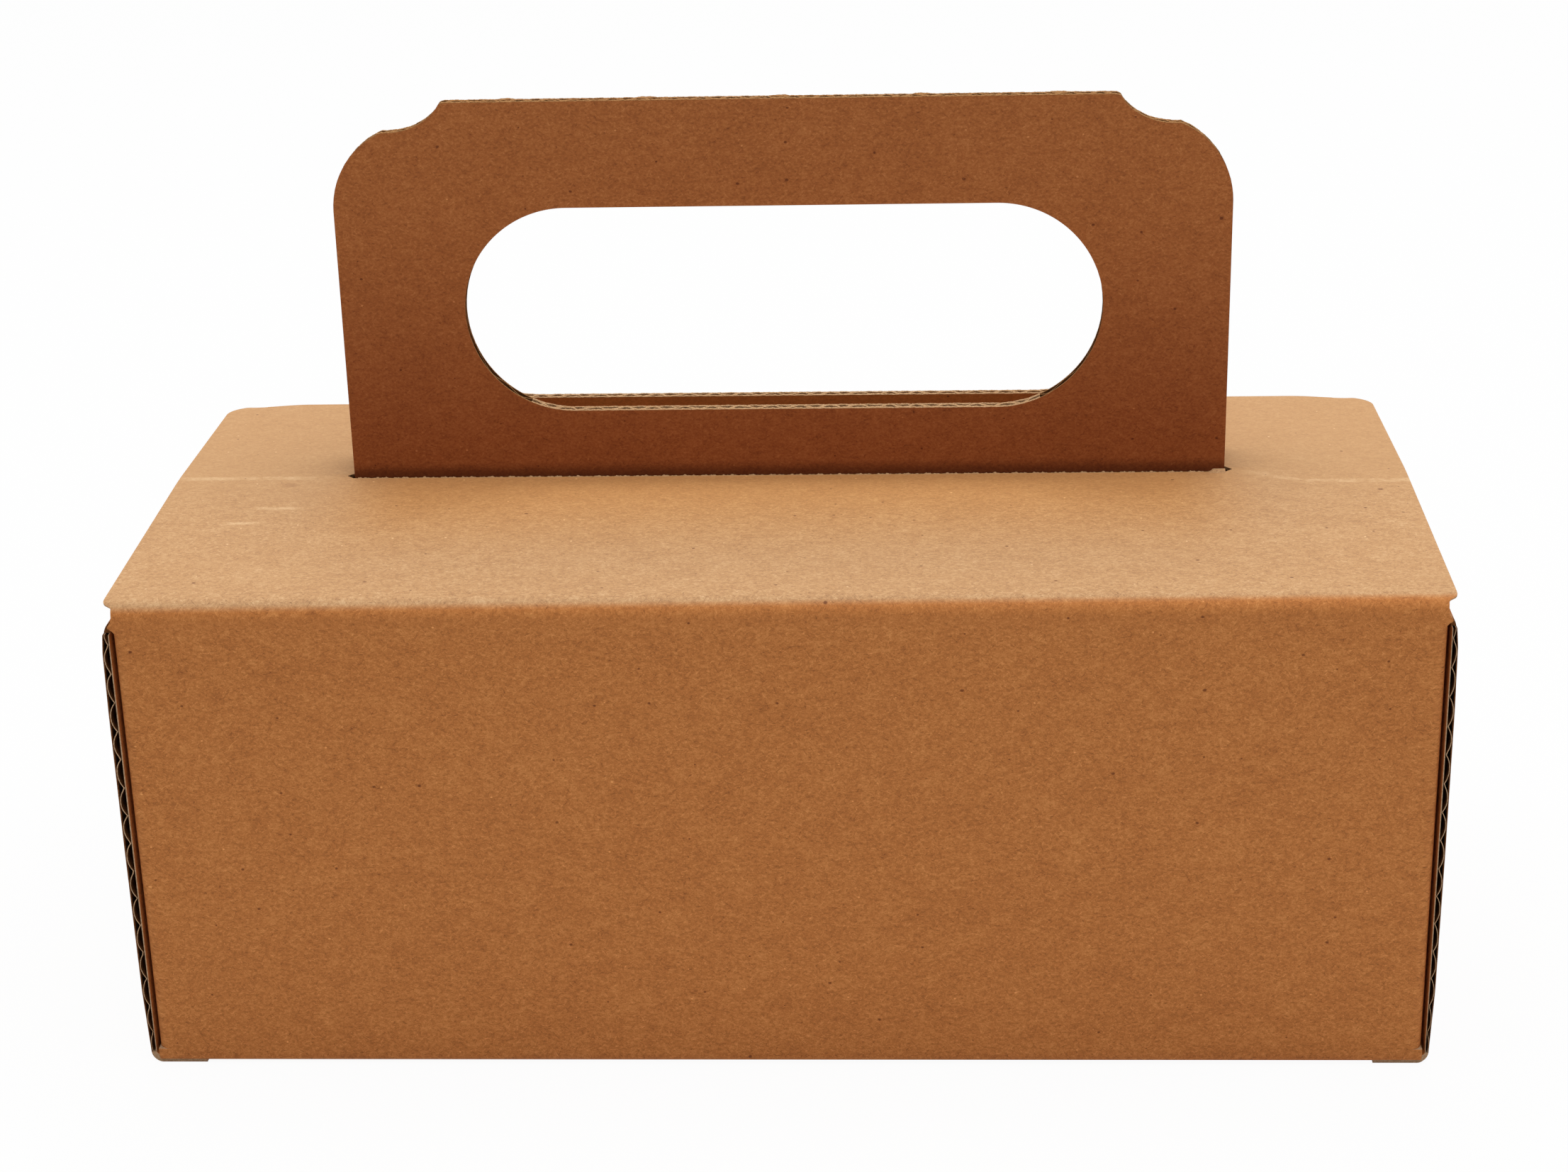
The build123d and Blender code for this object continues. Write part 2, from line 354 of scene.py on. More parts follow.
def corrugated(sheet, u, s, thick, skin, core, across, phase=0.0, shape=wave, cut=CUT):
    """Two liners and a wavy medium, the core, over a grid of places.

    across is the coordinate that the flutes cross.
    """
    half = thick / 2
    reach = half - skin - core / 2
    step = 0.05
    line = reach * shape(across, phase)
    slope = (reach * shape(across + step, phase) - line) / step
    half_core = np.minimum(1.9, np.sqrt(1 + slope**2)) * core / 2
    low_face, high_face = sheet.skins
    sheet.slab(u, s, half - skin, half, skins=(FLUTE, high_face))
    sheet.slab(u, s, -half, skin - half, cut=cut, skins=(low_face, FLUTE))
    sheet.slab(u, s, line - half_core, line + half_core, skins=(FLUTE, FLUTE))


def fluted_panel(sheet, us, low, high, rows, thick, skin):
    """Corrugated board whose flutes run along s, between two edges given for each column."""
    flute_step = flute_pitch / flute_samples
    u = spaced(us[0], us[-1], flute_step, us[1:-1])[:, None]
    share = np.linspace(0, 1, rows + 1)[None, :]
    low_s, high_s = low(u), high(u)
    s = low_s + share * (high_s - low_s)
    corrugated(sheet, np.broadcast_to(u, s.shape), s, thick, skin, medium, u)


def fray(x, seed):
    """An uneven line between 0 and 1, as a torn edge runs."""
    rough = (
        0.5 * np.sin(1.9 * x + seed) + 0.6 * np.sin(4.3 * x + 2.1 * seed + 0.7)
        + 0.5 * np.sin(9.7 * x + 3.3 * seed + 2.0) + 0.35 * np.sin(21.0 * x + seed * 5.1)
    )
    return np.clip(0.5 + 0.4 * rough, 0, 1)


# Tray


def tray_sheet(materials):
    """Base, hinge wall, far wall, side tabs and double side walls."""
    band = Fold(
        [(hinge_y + board / 2, fold_seam_z), (hinge_y + board / 2, board / 2),
         (far_y - board / 2, board / 2), (far_y - board / 2, wall_top)],
        [fold_mid, fold_mid],
    )

    def band_place(u, s, w):
        y, z = band.at(s, w)
        return u, y, z

    sheet = Sheet(band_place)
    sheet.on_paper = lambda u, s: (u, -s)
    half = board / 2
    panel_half = corner_half - fold_mid - half
    columns = spaced(-panel_half, panel_half, panel_step)
    foot_columns = np.concatenate([[-corner_half], columns, [corner_half]])
    foot_s = band.find(1, tab_foot)
    front_fold_end = band.find(0, hinge_y + board / 2 + fold_mid)
    far_fold_start = band.find(0, far_y - board / 2 - fold_mid)
    far_foot_s = band.find(1, tab_foot, far_fold_start)
    far_tab_s = band.find(1, tab_top, far_fold_start)
    fold_rows = np.linspace(foot_s, front_fold_end, 12)
    sheet.slab(foot_columns[:, None], fold_rows[None, :], -half, half)
    far_rows = np.linspace(far_fold_start, far_foot_s, 12)
    sheet.slab(foot_columns[:, None], far_rows[None, :], -half, half)
    base_columns = spaced(-strip_start, strip_start, panel_step)
    base_rows = spaced(front_fold_end, far_fold_start, panel_step)
    sheet.slab(base_columns[:, None], base_rows[None, :], -half, half)
    panel_rows = spaced(0.0, foot_s, panel_step)
    sheet.slab(columns[:, None], panel_rows[None, :], -half, half)
    for side in (1, -1):
        hook = np.array([hook_root, *np.linspace(hook_start, hook_tip, 9)])
        share = ((hook - hook_start) / (hook_tip - hook_start)).clip(0, 1)
        low = fold_seam_z - hook_drop * (1 - share) ** 1.6
        depths = (fold_seam_z - low)[:, None] * np.linspace(1, 0, 4)[None, :]
        sheet.slab(side * hook[:, None], depths, -half, half)
    far_panel_rows = spaced(far_foot_s, far_tab_s, panel_step)
    sheet.slab(columns[:, None], far_panel_rows[None, :], -half, half)
    fluted_panel(
        sheet, [-corner_half, corner_half],
        lambda u: far_tab_s + 0 * u, lambda u: band.length + 0 * u, 2, board, liner,
    )
    add_tabs(sheet)
    add_side_walls(sheet)
    return sheet.build("tray_board", materials)


def add_tabs(sheet):
    """The four side tabs and the rounded upright edges that they fold at."""
    half = board / 2
    mid = corner_half - half
    start = mid - fold_mid
    for wall_y, inward in ((hinge_y, 1), (far_y, -1)):
        for side in (1, -1):
            wall_mid = wall_y + inward * half
            tab = Fold(
                [(start, wall_mid), (mid, wall_mid), (mid, wall_y + inward * tab_length)],
                [fold_mid],
            )

            def tab_place(u, s, w, tab=tab, side=side, inward=inward):
                x, y = tab.at(s, w * inward)
                return side * x, y, u

            sheet.place = tab_place
            sheet.on_paper = lambda u, s, side=side: (side * (start + s), u - fold_seam_z)
            arc = np.linspace(0, fold_arc, 9)
            rest = spaced(fold_arc, tab.length, panel_step)[1:]
            rows = np.concatenate([arc, rest])
            heights = spaced(tab_foot, tab_top, panel_step)
            sheet.slab(heights[:, None], rows[None, :], -half, half)


def add_side_walls(sheet):
    """Double side walls: outer wall with open flutes, roll-over and inner wall with its tongues."""
    wall = Fold(
        [(strip_start, board / 2), (outer_mid, board / 2), (outer_mid, wall_top - board / 2),
         (inner_mid, wall_top - board / 2), (inner_mid, tongue_toe_z)],
        [fold_mid, roll_radius, roll_radius],
    )
    half = board / 2
    foot_low = wall.find(0, inner_mid - half - tongue_gap)
    foot_high = wall.find(0, inner_mid + half + tongue_gap)
    wall_low = wall.find(1, board / 2 + fold_mid, foot_high)
    wall_high = wall.find(1, wall_top - board / 2 - roll_radius, foot_high)
    roll_end = wall_high + math.pi * roll_radius + roll_flat
    inner_foot = wall.length - (board + layer_gap - tongue_toe_z)
    cusp = wall_low + side_cusp_z - board / 2 - fold_mid
    sheet.on_paper = lambda u, s: (s + side_paper, u)
    for side, narrow in ((1, right_press), (-1, left_press)):

        def wall_place(u, s, w, side=side, narrow=narrow):
            """The outer wall is pressed in at its foot and its rolled top."""
            x, z = wall.at(s, w)
            press = np.interp(z, press_z, press_depth) + narrow
            outer = np.clip((x - inner_mid) / (outer_mid - inner_mid), 0, 1)
            return side * (x - press * outer * (half - w) / board), u, z

        sheet.place = wall_place
        whole = spaced(-outer_end, outer_end, panel_step)
        inner = spaced(-inner_end, inner_end, panel_step)
        sheet.slab(whole[:, None], np.linspace(0, foot_low, 3)[None, :], -half, half)
        slot_reach = tongue_half + tongue_gap
        between = tongue_y - slot_reach
        beyond = tongue_y + slot_reach
        for low, high in ((-outer_end, -beyond), (-between, between), (beyond, outer_end)):
            part = spaced(low, high, panel_step)
            sheet.slab(part[:, None], np.linspace(foot_low, foot_high, 3)[None, :], -half, half)
        fold_rows = np.concatenate([[foot_high], np.linspace(wall_low - fold_arc, wall_low, 10)])
        sheet.slab(whole[:, None], fold_rows[None, :], -half, half)
        flute_rows = spaced(wall_low, wall_high, flute_pitch / flute_samples)
        # The outer liner's cut edge here, and the edges of the roll-over and inner wall below, take
        # the dark painted-shade edge paper.
        corrugated(
            sheet, whole[:, None], flute_rows[None, :], board, pressed_liner, pressed_medium,
            flute_rows[None, :], cusp, crushed_wave, OTHER_CUT,
        )
        roll_rows = np.linspace(wall_high, roll_end, 26)
        sheet.slab(inner[:, None], roll_rows[None, :], -half, half, cut=OTHER_CUT)
        inner_rows = spaced(roll_end, inner_foot, panel_step)
        sheet.slab(inner[:, None], inner_rows[None, :], -half, half, cut=OTHER_CUT)
        for centre in (-tongue_y, tongue_y):
            tongue = spaced(centre - tongue_half, centre + tongue_half, panel_step)
            sheet.slab(tongue[:, None], np.array([[inner_foot, wall.length]]), -half, half)


# Lid

lid_fold = Fold(
    [(hinge_y + board / 2, fold_seam_z), (hinge_y + board / 2, height - board / 2),
     (crease_y, crease_z - board / 2), (far_fold_y - board / 2, far_fold_z - board / 2),
     (flap_toe_y - board / 2, flap_toe_z)],
    [lid_fold_radius - board / 2, 6.0, fold_mid],
)


def lid_place(u, s, w):
    """The lid bows up a little towards its far fold, but not at the corners."""
    y, z = lid_fold.at(s, w)
    rise = lid_bow * np.clip((y - crease_y) / (far_fold_y - crease_y), 0, 1)
    corner = np.clip((np.abs(u) - bow_end_x) / bow_corner, 0, 1)
    return u, y, z + rise * (0.5 + 0.5 * np.cos(math.pi * corner))


def lid_sheet(materials):
    """Lid panel with its slot and rounded far corners, far fold and tuck flap."""
    sheet = Sheet(lid_place)
    start = lid_fold.find(0, lid_seam_y)
    crease = lid_fold.find(0, crease_y)
    slot_back = lid_fold.find(0, back_foot_y + handle_board / 2 + slot_back_gap)
    slot_side = handle_half + slot_gap
    far_start = lid_fold.find(0, far_fold_y - board / 2 - fold_mid)
    edge = lid_half_width
    corner = edge - lid_corner_radius
    far_s = far_start + corner_reach

    def near(u):
        return start + 0 * u

    def slot_near(u):
        tip = np.clip(np.abs(u) - slot_half, 0, slot_tip)
        return crease + tip

    def slot_far(u):
        torn = slot_wear * fray(u * 2.0, 2.0)
        reach = np.interp(
            np.abs(u), [slot_side, slot_half, slot_half + slot_tip],
            [slot_back, crease + slot_end_width, crease + slot_tip + slot_tip_width],
        )
        return np.where(np.abs(u) > slot_half - 0.01, reach - torn, reach)

    def far_edge(u):
        reach = np.clip(np.abs(u) - corner, 0, lid_corner_radius)
        return far_s - lid_corner_radius + np.sqrt(lid_corner_radius**2 - reach**2)

    def far(u):
        return far_start + 0 * u

    tip_end = slot_half + slot_tip
    ends = [slot_side, slot_half, slot_half + slot_tip / 2, tip_end]
    columns = [*(-e for e in reversed(ends)), *ends]
    fluted_panel(sheet, columns, near, slot_near, 12, board, liner)
    fluted_panel(sheet, columns, slot_far, far, 10, board, liner)
    for side in (1, -1):
        span = sorted((side * tip_end, side * flap_half_width))
        fluted_panel(sheet, span, near, far, 24, board, liner)
        arc = [side * x for x in round_columns(corner, lid_corner_radius)]
        span = sorted([side * flap_half_width, *arc])
        fluted_panel(sheet, span, near, far_edge, 24, board, liner)

    def flap_end(u):
        reach = np.clip(np.abs(u) - (flap_half_width - flap_corner), 0, flap_corner)
        return lid_fold.length - flap_corner + np.sqrt(flap_corner**2 - reach**2)

    bend = spaced(-flap_half_width, flap_half_width, 1.0)
    bend_end = far_start + fold_arc + flap_past_bend
    sheet.slab(bend[:, None], np.linspace(far_start, bend_end, 14)[None, :], -board / 2, board / 2)
    arc = round_columns(flap_half_width - flap_corner, flap_corner)
    span = sorted([-c for c in arc] + arc)
    fluted_panel(sheet, span, lambda u: bend_end + 0 * u, flap_end, 5, board, liner)
    add_slot_wear(sheet)
    return sheet.build("lid_board", materials)


def add_slot_wear(sheet):
    """The torn rim along the slot's near edge, and the tongue torn up at its right end."""

    def torn_place(u, s, w):
        rise = 0.03 + 0.17 * fray(u * 1.3, 5.0) ** 2
        return u, crease_y - 0.3 + 0.32 * s, crease_z - 0.04 + rise * s + w

    sheet.place = torn_place
    rim = np.linspace(rim_start_x, tear_x - 0.1, 900)
    sheet.slab(rim[:, None], np.linspace(0, 1, 3)[None, :], -0.05, 0.0)

    def tongue_place(u, s, w):
        rise = 0.52 * np.clip((u - tear_x) / 0.5, 0, 1) ** 2
        return u, crease_y - 0.5 + s, crease_z + rise * s + w

    sheet.place = tongue_place
    tongue = np.linspace(tear_x, tear_end_x, 13)
    sheet.slab(tongue[:, None], np.linspace(0, 0.62, 5)[None, :], -0.15, 0.0)


def fold_sheet(materials):
    """The board of the hinge fold, between the hinge wall and the lid panel."""
    sheet = Sheet(lid_place)
    end = lid_fold.find(0, lid_seam_y)
    rows = np.concatenate([np.linspace(0, 3.5, 26), spaced(3.5, end, 0.6)[1:]])
    half_width_at = np.interp(rows, ear_s, ear_half_width)
    inside = 0.97
    last = np.linspace(inside, 1, 9)
    columns = np.concatenate([-last[::-1], spaced(-inside, inside, 0.045)[1:-1], last])
    u = columns[:, None] * half_width_at[None, :]
    outward = np.clip((np.abs(u) - ear_x) / ear_blend_x, 0, 1)
    upward = np.clip((rows[None, :] - ear_start) / ear_blend_s, 0, 1)
    thinner = ear_thinner * board * outward * upward
    sheet.slab(u, rows[None, :], thinner - board / 2, board / 2)
    return sheet.build("hinge_fold_board", materials)


# Carry handle

front_foot_z = crease_z - board - foot_gap - handle_board / 2
back_foot_z = front_foot_z - back_foot_drop
bridge_z = crown_z + bridge_rise - handle_board / 2
ridge_turn = math.tan(math.radians(45 + handle_spread / 2))
ridge_back_y = front_mid_y + ridge_radius * (1 + ridge_turn) + ridge_gap


def back_mid_y(z):
    """Middle of the leaning back panel's board at a height."""
    return ridge_back_y + (back_foot_y - ridge_back_y) * (bridge_z - z) / (bridge_z - back_foot_z)


front_line = Fold(
    [(front_mid_y - foot_length, front_foot_z - near_fall), (front_mid_y, front_foot_z),
     (front_mid_y, crown_z)],
    [handle_fold],
)
back_crown_z = crown_z - back_drop
back_line = Fold(
    [(back_foot_y + foot_length, back_foot_z - far_fall), (back_foot_y, back_foot_z),
     (back_mid_y(back_crown_z), back_crown_z)],
    [handle_fold],
)
bridge_line = Fold(
    [(front_mid_y, crown_z - bridge_leg), (front_mid_y, bridge_z), (ridge_back_y, bridge_z),
     (back_mid_y(crown_z - bridge_leg), crown_z - bridge_leg)],
    [ridge_radius, ridge_radius],
)


def along(line, pressed=0.0, pressed_z=0.0):
    """Place on a sheet that follows a line in the YZ plane, thinner by a share about one height."""

    def place(u, s, w):
        _, middle = line.at(s, 0.0)
        thin = pressed * np.exp(-((middle - pressed_z) / 2.0) ** 2)
        y, z = line.at(s, w + (handle_board / 2 - w) * thin)
        return u, y, z

    return place


def soft_low(a, b, width):
    """The lower of two values, with a rounded change from one to the other."""
    return -width * np.logaddexp(-a / width, -b / width)


def handle_top(u):
    """Height of the handle's outline: crown, hollow notch, round shoulder."""
    x = np.abs(u)
    centre = handle_half - shoulder_radius
    turn = centre + shoulder_radius * math.cos(shoulder_sweep)
    turn_z = shoulder_z + shoulder_radius * math.sin(shoulder_sweep)
    reach = np.clip(x - centre, 0, shoulder_radius)
    shoulder = shoulder_z + np.sqrt(shoulder_radius**2 - reach**2)
    share = np.clip((x - crown_half) / (turn - crown_half), 0, 1)
    chord = crown_z + (turn_z - crown_z) * share
    notch = chord - notch_hollow * share**notch_skew * (1 - share)
    inward = np.clip(crown_half - x, 0, None)
    return np.where(x < turn, soft_low(crown_z, notch + 1.2 * inward, crown_soft), shoulder)


def hole_rise(u, half_length):
    """Half the hand hole's height over each column."""
    reach = np.clip(np.abs(u) - (half_length - hole_radius), 0, hole_radius)
    return np.sqrt(np.clip(hole_radius**2 - reach**2, 0, None))


def worn_edge(sheet, columns, edge, strand, skin):
    """Torn fibre along a cut edge, which leaves small holes between the liners and the medium."""
    u = columns[:, None]
    half = handle_board / 2
    reach = half - handle_liner - medium / 2
    line = reach * wave(u)
    thick = strand * (0.6 + 0.8 * fray(u, 1.0))
    rows = edge(u) + 0.07 * fray(u, 3.0) - np.array([[strand_root, 0.0]])
    low, high = (line - thick).clip(-half + 0.02, half), (line + thick).clip(-half, half - 0.02)
    sheet.slab(np.broadcast_to(u, rows.shape), rows, low, high, cut=skin, skins=(skin, skin))
    for face, seed in ((half, 4.0), (-half, 6.0)):
        rim = 0.2 + strand * (0.3 + 0.9 * fray(u, seed))
        low, high = (face - rim, face - 0.01) if face > 0 else (face + 0.01, face + rim)
        rows = edge(u) + 0.06 * fray(u, seed + 2.0) - np.array([[strand_root, 0.0]])
        sheet.slab(np.broadcast_to(u, rows.shape), rows, low, high, cut=skin, skins=(skin, skin))


def handle_panel(sheet, line, half_length, hole_z, top_z):
    """One panel of the handle with its foot, from the toe up to its top."""
    panel_start = foot_length + foot_past_bend
    panel_z = float(line.at(panel_start, 0.0)[1])
    stretch = (line.length - panel_start) / (top_z - panel_z)

    def up(z):
        return panel_start + (z - panel_z) * stretch

    def foot_line(u):
        return panel_start + 0 * u

    def toe(u):
        reach = np.clip(np.abs(u) - (foot_half - foot_corner), 0, foot_corner)
        return foot_corner - np.sqrt(foot_corner**2 - reach**2)

    def top(u):
        return up(handle_top(u) + top_z - crown_z)

    def lip(u):
        return up(hole_z - hole_rise(u, half_length))

    arc = round_columns(half_length - hole_radius, hole_radius)
    corners = [crown_half, *round_columns(handle_half - shoulder_radius, shoulder_radius)]
    over_hole = arc + [c for c in corners if c < arc[-1]]
    inside = sorted([-a for a in over_hole] + over_hole)
    skins = (handle_board, handle_liner)
    fluted_panel(sheet, inside, foot_line, lip, 8, *skins)
    fluted_panel(sheet, inside, lambda u: up(hole_z + hole_rise(u, half_length)), top, 6, *skins)
    for side in (1, -1):
        span = sorted(side * c for c in (arc[-1], *(c for c in corners if c > arc[-1])))
        fluted_panel(sheet, span, foot_line, top, 16, *skins)
    lip_end = half_length - lip_inset
    worn_edge(sheet, np.linspace(-lip_end, lip_end, 700), lip, lip_strand, OTHER_CUT)
    crown_end = handle_half - crown_inset
    worn_edge(sheet, np.linspace(-crown_end, crown_end, 1000), top, crown_strand, CUT)
    sheet.skins = (FACE, FACE)
    foot_arc = round_columns(foot_half - foot_corner, foot_corner)
    span = sorted([-x for x in foot_arc] + foot_arc)
    fluted_panel(sheet, span, toe, foot_line, 14, *skins)


def handle_sheet(materials):
    """Two panels with their feet, joined over the crown by the bridges of a cut crease."""
    sheet = Sheet(along(front_line))
    handle_panel(sheet, front_line, hole_half, hole_z, crown_z)
    sheet.place = along(back_line, back_lip_press, hole_z - hole_radius)
    sheet.on_paper = lambda u, s: (u + back_paper, s)
    # The back panel's face towards the hand hole takes a paper painted lighter, as painted light in
    # its shade.
    sheet.skins = (FACE, OTHER)
    handle_panel(sheet, back_line, back_hole_half, hole_z - back_hole_drop, back_crown_z)
    sheet.on_paper = lambda u, s: (u, s + bridge_paper)
    sheet.place = along(bridge_line)
    half = handle_board / 2
    rows = np.linspace(0, bridge_line.length, 26)
    for index, middle in enumerate(bridge_places):
        across = np.linspace(-1, 1, 17)[:, None]
        columns = middle + bridge_half * (0.75 + 0.1 * fray(index * 7.0, 1.0)) * across
        pressed = 0.14 + 0.12 * np.abs(across) ** 3 + 0.06 * fray(columns * 2, index)
        sheet.slab(columns, rows[None, :], 0.04 - half, half - pressed, skins=(CUT, CUT))
    return sheet.build("handle_board", materials)


# Materials


class Nodes:
    """Short calls for building a material's node tree."""

    def __init__(self, name):
        self.material = bpy.data.materials.new(name)
        self.material.use_nodes = True
        self.tree = self.material.node_tree
        self.shader = self.tree.nodes["Principled BSDF"]

    def bump(self, height, strength, distance):
        node = self.add("ShaderNodeBump")
        node.inputs["Strength"].default_value = strength
        node.inputs["Distance"].default_value = distance * MM
        self.tree.links.new(height, node.inputs["Height"])
        self.tree.links.new(node.outputs[0], self.shader.inputs["Normal"])

    def add(self, kind, **settings):
        node = self.tree.nodes.new(kind)
        for key, value in settings.items():
            setattr(node, key, value)
        return node

    def plug(self, socket, value):
        if isinstance(value, bpy.types.NodeSocket):
            self.tree.links.new(value, socket)
        elif value is not None:
            socket.default_value = value

    def math(self, operation, a, b=None, c=None, clamp=False):
        node = self.add("ShaderNodeMath", operation=operation, use_clamp=clamp)
        for socket, value in zip(node.inputs, (a, b, c)):
            self.plug(socket, value)
        return node.outputs[0]

    def mix(self, factor, a, b):
        node = self.add("ShaderNodeMix", data_type="RGBA")
        self.plug(node.inputs[0], factor)
        self.plug(node.inputs[6], a)
        self.plug(node.inputs[7], b)
        return node.outputs[2]

    def smooth(self, value, low, high):
        """0 at low, 1 at high, with a soft step between."""
        node = self.add("ShaderNodeMapRange", interpolation_type="SMOOTHSTEP")
        self.plug(node.inputs[0], value)
        node.inputs[1].default_value = low
        node.inputs[2].default_value = high
        return node.outputs[0]

    def paper(self, scale, offset=(0, 0, 0)):
        """Coordinates on the flat sheet, scaled."""
        attribute = self.add("ShaderNodeAttribute", attribute_name="paper")
        mapping = self.add("ShaderNodeMapping")
        self.tree.links.new(attribute.outputs["Vector"], mapping.inputs["Vector"])
        mapping.inputs["Scale"].default_value = scale
        mapping.inputs["Location"].default_value = offset
        return mapping.outputs[0]

    def split(self, vector, colour=False):
        """The three numbers of a vector or a colour."""
        node = self.add("ShaderNodeSeparateColor" if colour else "ShaderNodeSeparateXYZ")
        self.tree.links.new(vector, node.inputs[0])
        return list(node.outputs)

    def vector(self, operation, *values):
        node = self.add("ShaderNodeVectorMath", operation=operation)
        for socket, value in zip(node.inputs, values):
            self.plug(socket, value)
        return node.outputs[0]

    def near(self, value, centre, half):
        """1 at the centre, 0 past half a width from it."""
        away = self.math("ABSOLUTE", self.math("SUBTRACT", value, centre))
        return self.math("SUBTRACT", 1.0, self.smooth(away, half * 0.25, half))

    def total(self, *values):
        result = values[0]
        for value in values[1:]:
            result = self.math("ADD", result, value)
        return result

    def product(self, *values):
        result = values[0]
        for value in values[1:]:
            result = self.math("MULTIPLY", result, value)
        return result

    def noise(self, scale, offset=(0, 0, 0), detail=1.0, rough=1.0):
        node = self.add("ShaderNodeTexNoise")
        self.tree.links.new(self.paper(scale, offset), node.inputs["Vector"])
        node.inputs["Scale"].default_value = 1.0
        node.inputs["Detail"].default_value = detail
        node.inputs["Roughness"].default_value = rough
        return node.outputs["Fac"]

    def swing(self, amount, *noise):
        """Noise about zero."""
        return self.math("MULTIPLY_ADD", self.noise(*noise), amount, -amount / 2)

    def cells(self, cell, seed):
        """Place within the nearest of scattered cells, and that cell's random numbers."""
        place = self.paper((1 / cell, 1 / cell, 1 / cell), (seed, 0.37 * seed, 0))
        node = self.add("ShaderNodeTexVoronoi", voronoi_dimensions="2D")
        self.tree.links.new(place, node.inputs["Vector"])
        node.inputs["Scale"].default_value = 1.0
        away = self.vector("SUBTRACT", place, node.outputs["Position"])
        return away, self.split(node.outputs["Color"], True)

    def fibres(self, cell, seed, width, amount):
        """Fine curved hairs, one to a cell: pale ones count up and dark ones down."""
        away, (turn, bend, kind) = self.cells(cell, seed)
        rotate = self.add("ShaderNodeVectorRotate", rotation_type="Z_AXIS")
        self.tree.links.new(away, rotate.inputs["Vector"])
        self.plug(rotate.inputs["Angle"], self.math("MULTIPLY_ADD", turn, 2.4, -1.2))
        x, y, _ = self.split(rotate.outputs[0])
        curve = self.product(x, x, self.math("MULTIPLY_ADD", bend, 1.4, -0.7))
        line = self.near(self.math("SUBTRACT", y, curve), 0.0, width / cell)
        ends = self.near(x, 0.0, 0.52)
        return self.product(line, ends, self.math("MULTIPLY_ADD", kind, 2 * amount, -amount))

    def specks(self, cell, seed, radius, share):
        """Small round spots in a share of the cells."""
        away, (chance, size, _) = self.cells(cell, seed)
        x, y, _ = self.split(away)
        apart = self.math("SQRT", self.total(self.product(x, x), self.product(y, y, 1.6)))
        reach = self.math("MULTIPLY_ADD", size, radius / cell, 0.4 * radius / cell)
        spot = self.math("SUBTRACT", 1.0, self.math("DIVIDE", apart, reach), clamp=True)
        chosen = self.math("LESS_THAN", chance, share)
        return self.product(self.math("MULTIPLY", spot, 2.0, clamp=True), chosen)


# Each size of hair: cell, seed, width and strength.
hair_sizes = (
    (0.45, 3.0, 0.070, 0.40), (0.75, 17.0, 0.066, 0.38),
    (1.2, 31.0, 0.060, 0.36), (2.1, 47.0, 0.052, 0.32),
)
darkest, palest = -1.3, 1.5


def kraft(name, colour, contrast=1.0, other=None, highlight_and_marks=None, painted_shade=None, calm=None):
    """Brown kraft paper: soft clouds, fine mottle, curved hairs and a few specks.

    other is a second colour, with the distances along the sheet between which it gives way,
    and their rise for each millimetre across the sheet.
    calm lessens the contrast, down to a share of it, between two distances along the sheet.
    Two more make, from the place on the sheet, tone (painted highlight, marks) and painted shade.
    """
    n = Nodes(name)
    across, along_sheet, _ = n.split(n.paper((1, 1, 1)))
    mottle = n.noise((2.6, 3.6, 1.0), (5, 3, 1), 2.0, 0.9)
    hairs = n.total(*(n.fibres(*size) for size in hair_sizes))
    clouds = n.swing(0.36, (0.12, 0.14, 0.2), (0, 0, 0), 2.0)
    patches = n.swing(0.5, (0.6, 0.95, 1.0), (9, 4, 2))
    tone = n.total(clouds, patches, n.math("MULTIPLY_ADD", mottle, 1.8, -0.9), hairs)
    tone = n.math("MULTIPLY", tone, contrast)
    if calm:
        first, last, least = calm
        share = n.math("MULTIPLY_ADD", n.smooth(along_sheet, first, last), least - 1, 1.0)
        tone = n.math("MULTIPLY", tone, share)
    pale_spots = n.product(n.specks(6.3, 5.0, 0.13, 0.4), 1.4)
    dark_spots = n.product(n.specks(4.9, 23.0, 0.19, 0.3), -1.35)
    tone = n.total(tone, pale_spots, dark_spots)
    if highlight_and_marks:
        tone = n.total(tone, highlight_and_marks(n, across, along_sheet))
    tone = n.math("MINIMUM", n.math("MAXIMUM", tone, darkest), palest)
    paper = colour[:3]
    if other:
        second, first, last, slope = other
        tilted = n.math("MULTIPLY_ADD", across, -slope, along_sheet)
        paper = n.mix(n.smooth(tilted, first, last), second, colour)
    if painted_shade:
        paper = n.vector("MULTIPLY", paper, painted_shade(n, across, along_sheet))
    below, above = n.math("MINIMUM", tone, 0.0), n.math("MAXIMUM", tone, 0.0)
    darker = n.vector("MULTIPLY_ADD", below, (0.46, 0.52, 0.50), (1, 1, 1))
    gain = n.vector("MULTIPLY_ADD", above, (0.38, 0.68, 1.0), darker)
    n.plug(n.shader.inputs["Base Color"], n.vector("MULTIPLY", paper, gain))
    n.shader.inputs["Roughness"].default_value = 0.75
    n.shader.inputs["Specular IOR Level"].default_value = 0.2
    n.bump(n.total(n.product(mottle, 0.8), hairs), 0.2, 0.04)
    return n.material


def raw_edge(name, colour_low, colour_high):
    """Cut or torn paper, furry and uneven in colour."""
    n = Nodes(name)
    fur = n.noise((4.0, 4.0, 5.0), (0, 0, 0), 3.0, 0.8)
    n.plug(n.shader.inputs["Base Color"], n.mix(n.smooth(fur, 0.3, 0.7), colour_low, colour_high))
    n.shader.inputs["Roughness"].default_value = 0.85
    n.shader.inputs["Specular IOR Level"].default_value = 0.05
    n.bump(fur, 0.4, 0.06)
    return n.material


# Scuffs and stains on the lid: x, y, half length, half height, and the tone that each adds.
lid_spots = (
    (-57.4, -6.7, 3.2, 0.55, 0.55), (-60.8, -11.2, 3.3, 0.55, 0.6), (-57.5, 0.7, 1.2, 0.9, -0.3),
    (67.4, -3.2, 0.45, 0.4, -1.0), (-30.6, 3.2, 2.4, 0.5, 0.5), (-49.5, -16.0, 6.0, 2.0, 0.12),
)


